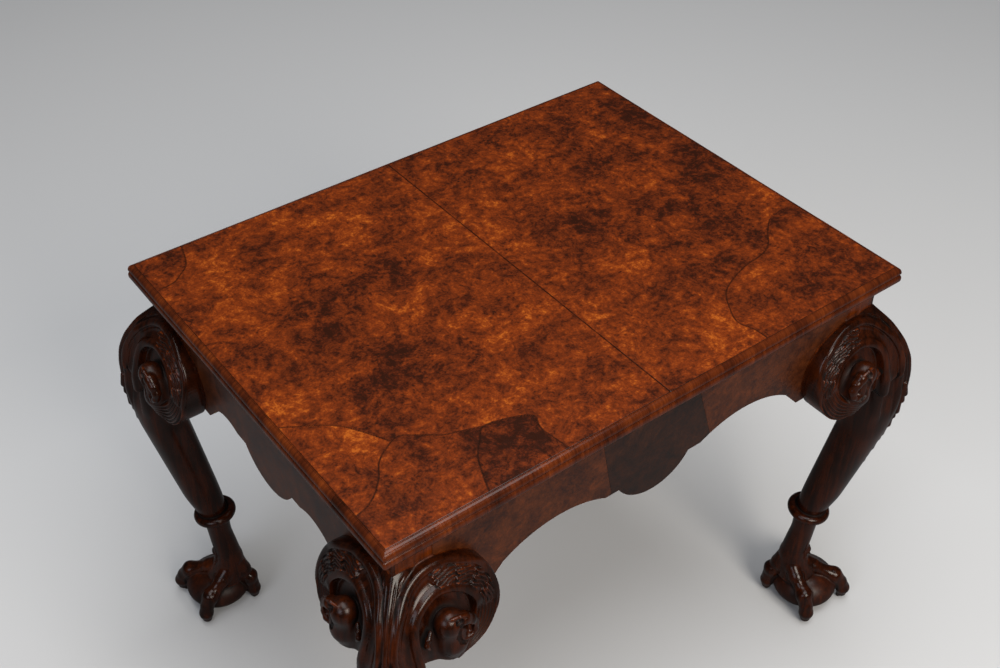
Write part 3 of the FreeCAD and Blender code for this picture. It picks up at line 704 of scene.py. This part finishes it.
def knee_relief(a, z, ridge):
    """How far the carving stands out from the knee's smooth form, over the front face."""
    u, w = a - EYE_A, z - EYE_Z
    radius, angle = polar(u, w)
    edge = smooth_table(angle, SCROLL_EDGE, 5)[0]
    flank = (u > 0) & (w < 0)
    line = np.where(flank, u, radius)
    course = np.where(flank, 0.6 * w, angle)
    lip = smooth_table(course, SCROLL_LIP, 5)[0]
    rim = smooth_table(course, SCROLL_RIM, 5)[0]
    rising = ease(-66, -34, course)
    smooth_part = rising * ease(80, 74, course)

    relief = 3.6 * bead(line - rim, 6.5) * rising * ease(190, 165, course)
    relief -= 9.0 * ease(rim - 4.0, rim - 9.0, line) * ease(-60, -20, course)
    channel = np.clip((line - rim - 5) / (lip - 7 - rim - 5), 0, 1)
    relief -= 3.6 * np.sin(3.14 * channel) ** 0.7 * smooth_part
    relief += 3.2 * bead(line - lip, 5.2) * rising * ease(100, 86, course)
    relief -= 2.2 * np.exp(-(((line - lip + 6.6) / 1.6) ** 2)) * smooth_part
    relief -= 2.4 * np.exp(-(((line - lip - 6.2) / 1.5) ** 2)) * rising * ease(84, 66, course)

    inner_band = ease(84, 100, angle) * ease(205, 180, angle)
    relief += 2.0 * bead(radius - edge + 4.0, 4.6) * inner_band
    relief -= 2.0 * np.exp(-(((radius - edge + 9.0) / 1.4) ** 2)) * inner_band
    relief += feather_relief(radius, angle, rim + 4.5, edge - 8.0) * ease(193, 184, angle) * ease(70, 76, angle)
    under = ease(178, 194, angle) + ease(-62, -80, angle)
    sweep = np.where(angle < 0, angle + 360, angle)
    curl = np.cos(2 * math.pi * (radius + 0.06 * sweep) / 4.8)
    relief += (1.1 * curl - 0.5) * under * ease(30, 35, radius) * ease(edge + 1, edge - 3, radius)

    wing = ease(lip + 6.5, lip + 8.5, line) * ease(ridge - 10, ridge - 12, a) * ease(EYE_Z + 5, EYE_Z + 22, z)
    reeds = np.cos(2 * math.pi * (line - lip - 0.05 * (z - 560)) / 3.3)
    relief += (1.2 * reeds - 0.3) * wing
    for inset in (5.5, 10.5):
        band = np.exp(-(((a - ridge + inset) / 1.2) ** 2)) * ease(380, 420, z) * ease(604, 586, z)
        relief -= 1.8 * band
    return relief


def carve_relief(block):
    where, a, b, z = block.window((-130, 0, 380), (60, 60, 630))
    front = smooth_table(z[0], SHAFT, 9)[0]
    relief = knee_relief(a[:, 0, :], z[0], front * DIAGONAL)[:, None, :]
    block.field[where] -= (relief * ease(3, 10, b)).astype(np.float32)


def carve_head(block):
    """The eagle's head in the eye of the scroll, looking in to the table with its beak hooked down."""
    # Crown, cheek and neck
    block.egg(on_face(10, 40, 9), (15.5, 15.5, 16), 2.0)
    block.egg(on_face(3, 38, -15), (21, 16, 32), 9.0)
    block.limb([on_face(5, 38, -28), on_face(3, 34, -46), on_face(1, 31, -57)], (17, 13.5, 10), 6)
    # Hooked beak, the mouth inside its hook and the crease behind it
    block.limb(
        [
            on_face(3, 46, 15), on_face(-6, 47, 13), on_face(-14, 47, 6), on_face(-19, 47, -3), on_face(-18, 49, -12),
            on_face(-12, 51, -17), on_face(-5, 51.5, -17),
        ],
        (7.5, 8.0, 7.2, 6.0, 5.0, 4.2, 3.0), 1.5,
    )
    block.limb(
        [on_face(-1, 54, 6), on_face(-8, 51, 3), on_face(-12, 50, -3), on_face(-11, 52, -9), on_face(-6, 54, -11)],
        (2.0, 3.6, 4.4, 3.6, 2.0), 0.8, True,
    )
    block.limb(
        [
            on_face(1, 54.5, 13), on_face(4, 54.2, 4), on_face(5, 54, -7), on_face(2, 54.5, -17),
            on_face(-5, 53.6, -23), on_face(-13, 50.5, -24),
        ],
        (2.2, 2.8, 2.8, 2.6, 2.4, 1.6), 0.8, True,
    )
    # Eye in its socket, brow and ear tuft
    block.egg(on_face(3, 55, 17), (5.6, 8.0, 5.0), 0.8, True)
    block.egg(on_face(3, 48, 16.5), (3.4, 3.4, 3.0), 0.4)
    block.limb([on_face(-7, 50.5, 20), on_face(1, 50.5, 23.5), on_face(11, 48, 23)], (1.6, 2.2, 1.4), 1.5)
    block.limb(
        [on_face(31, 36, 4), on_face(36, 39, -2), on_face(39, 41, -8), on_face(37, 42, -14)], (2.6, 3.4, 3.2, 2.0), 1.5
    )


def carve_ankle(block):
    """The collar ring, the leaf teeth down the front of the leg and the claw and ball foot."""
    where, a, b, z = block.window((-70, -70, 180), (30, 30, 216))
    out, across, rise = (a + b) * DIAGONAL + RING_BACK, (a - b) * DIAGONAL, z - RING_HEIGHT
    level = rise * math.cos(RING_LEAN) + out * math.sin(RING_LEAN)
    flat = np.hypot(out * math.cos(RING_LEAN) - rise * math.sin(RING_LEAN), across)
    block.join(where, (np.hypot(flat - RING_RADIUS, level) - RING_THICK).astype(np.float32), 1.2)
    for number in range(TEETH):
        high = FIRST_TOOTH - TOOTH_SPACING * number
        low = high - 18 + 3 * math.sin(2.3 * number)
        fronts = smooth_table(np.array([high, low]), SHAFT, 9)[0]
        size = 5.2 - 0.22 * number + 0.5 * math.sin(3.7 * number)
        block.limb(
            [on_leg(fronts[0] - 6, -6.0, high), on_leg(fronts[1] - 3.6, -5.0, low)], (size * 0.7, size), 1.5
        )
    block.egg(on_leg(-5, 0, 30.5), (50, 50, 31), 2)
    block.limb([on_leg(-31, 0, 94), on_leg(-26, 0, 68), on_leg(-16, 0, 46)], (19.5, 24, 28), 6)
    for direction in range(4):
        along, across = math.cos(direction * math.pi / 2), math.sin(direction * math.pi / 2)
        start = np.array((-32 + 12 * along, 12 * across))
        end = np.array((-4 + 57 * along, 57 * across))
        chain = [on_leg(*(start + (end - start) * share), height) for share, height, thick in TOE]
        block.limb(chain, [thick for share, height, thick in TOE], 2.5)
    block.egg(on_leg(-12, 0, 104), (7, 7, 9), 4)


def carve_leg(step):
    """The carved block of one leg, and its surface as points and faces in block coordinates."""
    block = Block((-130, -130, -4), (60, 60, UNDERSIDE + 4), step)
    carve_shaft(block)
    carve_scroll(block)
    carve_relief(block)
    carve_head(block)
    carve_ankle(block)
    field = block.field
    behind, ahead = np.tril_indices(field.shape[0], -1)
    field[behind, ahead] = field[ahead, behind]
    floor = block.axes[2][None, None, :]
    np.maximum(field, -floor, out=field)
    np.maximum(field, floor - np.float32(UNDERSIDE), out=field)
    grid = openvdb.FloatGrid(background=3.0)
    grid.copyFromArray(np.clip(field, -3, 3))
    points, quads = grid.convertToQuads()
    points = np.array([axis[0] for axis in block.axes]) + points * step
    return block, points, quads.astype(int)


class TEATABLE_OT_legs(bpy.types.Operator):
    """Carve the four cabriole legs with their eagle-head knees and claw and ball feet"""

    bl_idname = "teatable.legs"
    bl_label = "Carve legs"

    def execute(self, context):
        settings = context.scene.teatable_legs
        step = settings.detail * 1.0
        block, points, quads = carve_leg(step)
        material = carved_walnut(
            "dark walnut, carved and waxed", ("#090301", "#1B0802", "#3C1604", "#75320A"), settings.gloss,
            settings.grime,
        )
        probe = bpy.data.meshes.new("probe")
        probe.from_pydata(points, [], quads.tolist())
        normals = np.zeros(points.shape[0] * 3, np.float32)
        probe.vertex_normals.foreach_get("vector", normals)
        normals = normals.reshape(-1, 3)
        bpy.data.meshes.remove(probe)
        outward = block.sample(points + normals * SIDE_REACH) > block.sample(points - normals * SIDE_REACH)
        if outward.mean() < 0.5:
            quads = quads[:, ::-1]
            normals = -normals
        # Painted shade and old wax in the cuts: how far the carving shuts in each point, sampled a little way out
        shade_and_grime = np.clip(1 - block.sample(points + normals * CAVITY_REACH) / CAVITY_REACH, 0, 1)
        wear = np.clip(1 + block.sample(points - normals * WEAR_REACH) / WEAR_REACH, 0, 1)
        # The plain faces of the post between the aprons are as light as the aprons
        near, far = points[:, :2].min(axis=1), points[:, :2].max(axis=1)
        wear = np.maximum(wear, 0.8 * (near < -4) * (np.abs(far) < 1.5) * ease(560, 575, points[:, 2]))
        for along, end in ((-1, "front"), (1, "back")):
            for across, hand in ((-1, "left"), (1, "right")):
                corner = end + "_" + hand
                x = across * (FACE_X + points[:, 0])
                y = along * (FACE_Y + points[:, 1])
                faces = quads if across * along > 0 else quads[:, ::-1]
                piece = new_piece(
                    "carved_leg_" + corner, np.stack([x, y, points[:, 2]], -1), faces.tolist(), material,
                    ["leg_" + corner, "ear_" + corner + "_long", "ear_" + corner + "_short"],
                )
                point_values(piece, "shade_and_grime", shade_and_grime)
                point_values(piece, "wear", wear)
        return {"FINISHED"}


class TEATABLE_OT_top(bpy.types.Operator):
    """Lay the burr walnut leaves of the top"""

    bl_idname = "teatable.top"
    bl_label = "Lay top veneer"

    def execute(self, context):
        settings = context.scene.teatable_top
        tones = ("#2A1107", "#3E1708", "#55220A", "#68290A", "#7E360D", "#A05015")
        material = burr_walnut("burr walnut veneer, french polished", tones, settings.gloss, settings.joint)
        for side in (-1, 1):
            top_leaf(side, material)
        return {"FINISHED"}


class TEATABLE_OT_edge(bpy.types.Operator):
    """Run the moulded edge round the top"""

    bl_idname = "teatable.edge"
    bl_label = "Run edge moulding"

    def execute(self, context):
        tones = ("#240E05", "#3E1808", "#56240B", "#74340F")
        gloss = context.scene.teatable_trim.edge_gloss
        grains = [
            cross_grain_walnut("cross grain walnut, polished, " + sides + " sides", along, tones, gloss)
            for along, sides in enumerate(("long", "short"))
        ]
        spans = (2 * EDGE_X, 2 * EDGE_Y)
        for quarter, side in enumerate(("front", "right", "back", "left")):
            turned = quarter % 2
            edge_strip(side, spans[turned], spans[1 - turned], quarter, grains[turned])
        return {"FINISHED"}


class TEATABLE_OT_aprons(bpy.types.Operator):
    """Dress the four shaped aprons"""

    bl_idname = "teatable.aprons"
    bl_label = "Dress aprons"

    def execute(self, context):
        gloss = context.scene.teatable_trim.apron_gloss
        light = burr_walnut(
            "burr walnut apron veneer, polished", ("#28120A", "#3E1C0C", "#512710", "#643014"), gloss
        )
        dark = burr_walnut(
            "dark burr walnut apron veneer, polished", ("#180D08", "#26130B", "#32190D", "#402110"), gloss
        )
        pine = planed_pine("softwood, planed, apron boards")
        for side in ("front", "back", "left", "right"):
            softened("apron_" + side, "apron_board_" + side, 0.8, pine)
        for side in ("front", "back"):
            for part, material in (("left", light), ("centre", dark), ("right", light)):
                name = side + "_" + part
                softened("apron_veneer_" + name, "apron_leaf_" + name, 0.4, material)
        for side in ("left", "right"):
            softened("apron_veneer_" + side, "apron_leaf_" + side, 0.4, light)
        return {"FINISHED"}


class TEATABLE_OT_fixings(bpy.types.Operator):
    """Dress the ground panel, the glue blocks and the screws under the top"""

    bl_idname = "teatable.fixings"
    bl_label = "Dress ground and fixings"

    def execute(self, context):
        pine = planed_pine("softwood, planed, ground and blocks")
        softened("top_core", "ground_panel", 0.5, pine)
        for number in range(1, 9):
            softened("glue_block_" + str(number), "rubbed_block_" + str(number), 1.5, pine)
        steel = dull_steel("dull steel, screws")
        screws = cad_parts["top_screws"].data.materials
        screws.clear()
        screws.append(steel)
        return {"FINISHED"}


# Stage

# Lamps: name, place and size in metres, power in watts and colour, and the place that they face
LAMPS = (
    ("key_light", (-0.2, -3.0, 2.6), 1.5, 85, "#FFF6EA"),
    ("fill_light", (-3.0, -1.2, 2.4), 1.6, 24, "#EEF3FF"),
    ("top_light", (0.0, -0.3, 3.4), 2.4, 80, "#FFFFFF"),
)
LAMP_AIM = (0.0, 0.0, 0.5)


class TEATABLE_OT_stage(bpy.types.Operator):
    """Set the camera, the pale floor and the soft light"""

    bl_idname = "teatable.stage"
    bl_label = "Set stage"

    def execute(self, context):
        settings = context.scene.teatable_stage
        scene = context.scene
        scene.view_settings.view_transform = "Standard"
        back = Vector((
            math.sin(settings.azimuth) * math.cos(settings.elevation),
            -math.cos(settings.azimuth) * math.cos(settings.elevation),
            math.sin(settings.elevation),
        ))
        camera = bpy.data.cameras.new("camera")
        camera.sensor_width = 36.0
        camera.sensor_fit = "HORIZONTAL"
        camera.lens = settings.lens
        viewer = bpy.data.objects.new("camera", camera)
        viewer.matrix_world = Matrix.Translation(settings.viewpoint) @ back.to_track_quat("Z", "Y").to_matrix().to_4x4()
        scene.collection.objects.link(viewer)
        scene.camera = viewer

        mesh = bpy.data.meshes.new("floor")
        far = settings.reach
        mesh.from_pydata([(-far, -far, 0), (far, -far, 0), (far, far, 0), (-far, far, 0)], [], [(0, 1, 2, 3)])
        mesh.materials.append(pale_floor("matt paint, pale floor", settings.floor, linear("#77797B")))
        floor = bpy.data.objects.new("floor", mesh)
        scene.collection.objects.link(floor)

        for name, place, size, power, colour in LAMPS:
            lamp = bpy.data.lights.new(name, "AREA")
            lamp.size = size
            lamp.energy = power
            lamp.color = linear(colour)[:3]
            light = bpy.data.objects.new(name, lamp)
            aim = Vector(place) - Vector(LAMP_AIM)
            light.matrix_world = Matrix.Translation(place) @ aim.to_track_quat("Z", "Y").to_matrix().to_4x4()
            scene.collection.objects.link(light)

        world = bpy.data.worlds.new("studio")
        world.use_nodes = True
        scene.world = world
        tree = world.node_tree
        tree.nodes.clear()
        seen = add(tree, "LightPath", out="Is Camera Ray")
        mirrored = add(tree, "LightPath", out="Is Glossy Ray")
        strength = add(tree, "MapRange", {"Value": mirrored, "To Min": 0.25, "To Max": 0.04})
        strength = add(tree, "MapRange", {"Value": seen, "To Min": strength, "To Max": 0.85})
        background = add(tree, "Background", {"Color": linear("#F4F6FA"), "Strength": strength})
        add(tree, "OutputWorld", {"Surface": background})
        return {"FINISHED"}


class TEATABLE_top_settings(bpy.types.PropertyGroup):
    gloss: bpy.props.FloatProperty(
        name="Polish roughness", description="Roughness of the french polished top", default=0.25, min=0.05, max=1.0,
        subtype="FACTOR",
    )
    joint: bpy.props.FloatVectorProperty(
        name="Joint colour", description="Dirt in the joints between the leaves", default=linear("#180A04"), size=4,
        min=0.0, max=1.0, subtype="COLOR",
    )


class TEATABLE_trim_settings(bpy.types.PropertyGroup):
    edge_gloss: bpy.props.FloatProperty(
        name="Edge roughness", description="Roughness of the polished moulding", default=0.18, min=0.05, max=1.0,
        subtype="FACTOR",
    )
    apron_gloss: bpy.props.FloatProperty(
        name="Apron roughness", description="Roughness of the apron veneer", default=0.34, min=0.05, max=1.0,
        subtype="FACTOR",
    )


class TEATABLE_leg_settings(bpy.types.PropertyGroup):
    detail: bpy.props.FloatProperty(
        name="Carving detail", description="Finest step of the carving in millimetres", default=0.85, min=0.6, max=4.0
    )
    gloss: bpy.props.FloatProperty(
        name="Wax roughness", description="Roughness of the waxed carving", default=0.22, min=0.05, max=1.0,
        subtype="FACTOR",
    )
    # Colour of the painted shade and old wax in the cuts of the carving
    grime: bpy.props.FloatVectorProperty(
        name="Shade and grime colour", description="Painted shade and old wax in the cuts", default=linear("#0B0503"), size=4,
        min=0.0, max=1.0, subtype="COLOR",
    )


class TEATABLE_stage_settings(bpy.types.PropertyGroup):
    viewpoint: bpy.props.FloatVectorProperty(
        name="Viewpoint", description="Where the camera stands", default=(-0.8211, -1.0632, 1.6958), subtype="XYZ",
        unit="LENGTH",
    )
    azimuth: bpy.props.FloatProperty(
        name="Azimuth", description="Turn of the view from the front", default=math.radians(-36.9), unit="ROTATION"
    )
    elevation: bpy.props.FloatProperty(
        name="Elevation", description="How far the view looks down", default=math.radians(40.5), unit="ROTATION"
    )
    lens: bpy.props.FloatProperty(
        name="Lens", description="Focal length on a 36 mm wide frame", default=47.17, min=10.0, max=300.0
    )
    floor: bpy.props.FloatVectorProperty(
        name="Floor colour", description="Paint of the floor", default=linear("#C9CACB"), size=4, min=0.0, max=1.0,
        subtype="COLOR",
    )
    reach: bpy.props.FloatProperty(
        name="Floor reach", description="How far the floor goes each way", default=3.2, min=1.0, unit="LENGTH"
    )


class TEATABLE_PT_panel(bpy.types.Panel):
    """Settings and steps of the tea table"""

    bl_label = "Tea Table"
    bl_idname = "TEATABLE_PT_panel"
    bl_space_type = "VIEW_3D"
    bl_region_type = "UI"
    bl_category = "Tea Table"

    def draw(self, context):
        scene = context.scene
        for group in (getattr(scene, setting) for setting, kind in SETTINGS):
            for name in group.bl_rna.properties.keys():
                if name not in ("rna_type", "name"):
                    self.layout.prop(group, name)
        for step in STEPS:
            self.layout.operator(step.bl_idname)


SETTINGS = (
    ("teatable_top", TEATABLE_top_settings),
    ("teatable_trim", TEATABLE_trim_settings),
    ("teatable_legs", TEATABLE_leg_settings),
    ("teatable_stage", TEATABLE_stage_settings),
)
STEPS = (
    TEATABLE_OT_stage, TEATABLE_OT_top, TEATABLE_OT_edge, TEATABLE_OT_aprons, TEATABLE_OT_legs, TEATABLE_OT_fixings,
)


def register():
    for name, group in SETTINGS:
        bpy.utils.register_class(group)
        setattr(bpy.types.Scene, name, bpy.props.PointerProperty(type=group))
    for step in STEPS:
        bpy.utils.register_class(step)
    bpy.utils.register_class(TEATABLE_PT_panel)


def unregister():
    bpy.utils.unregister_class(TEATABLE_PT_panel)
    for step in reversed(STEPS):
        bpy.utils.unregister_class(step)
    for name, group in reversed(SETTINGS):
        delattr(bpy.types.Scene, name)
        bpy.utils.unregister_class(group)


def main():
    register()
    bpy.ops.teatable.stage()
    bpy.ops.teatable.top()
    bpy.ops.teatable.edge()
    bpy.ops.teatable.aprons()
    bpy.ops.teatable.legs()
    bpy.ops.teatable.fixings()


if __name__ == "__main__":
    main()
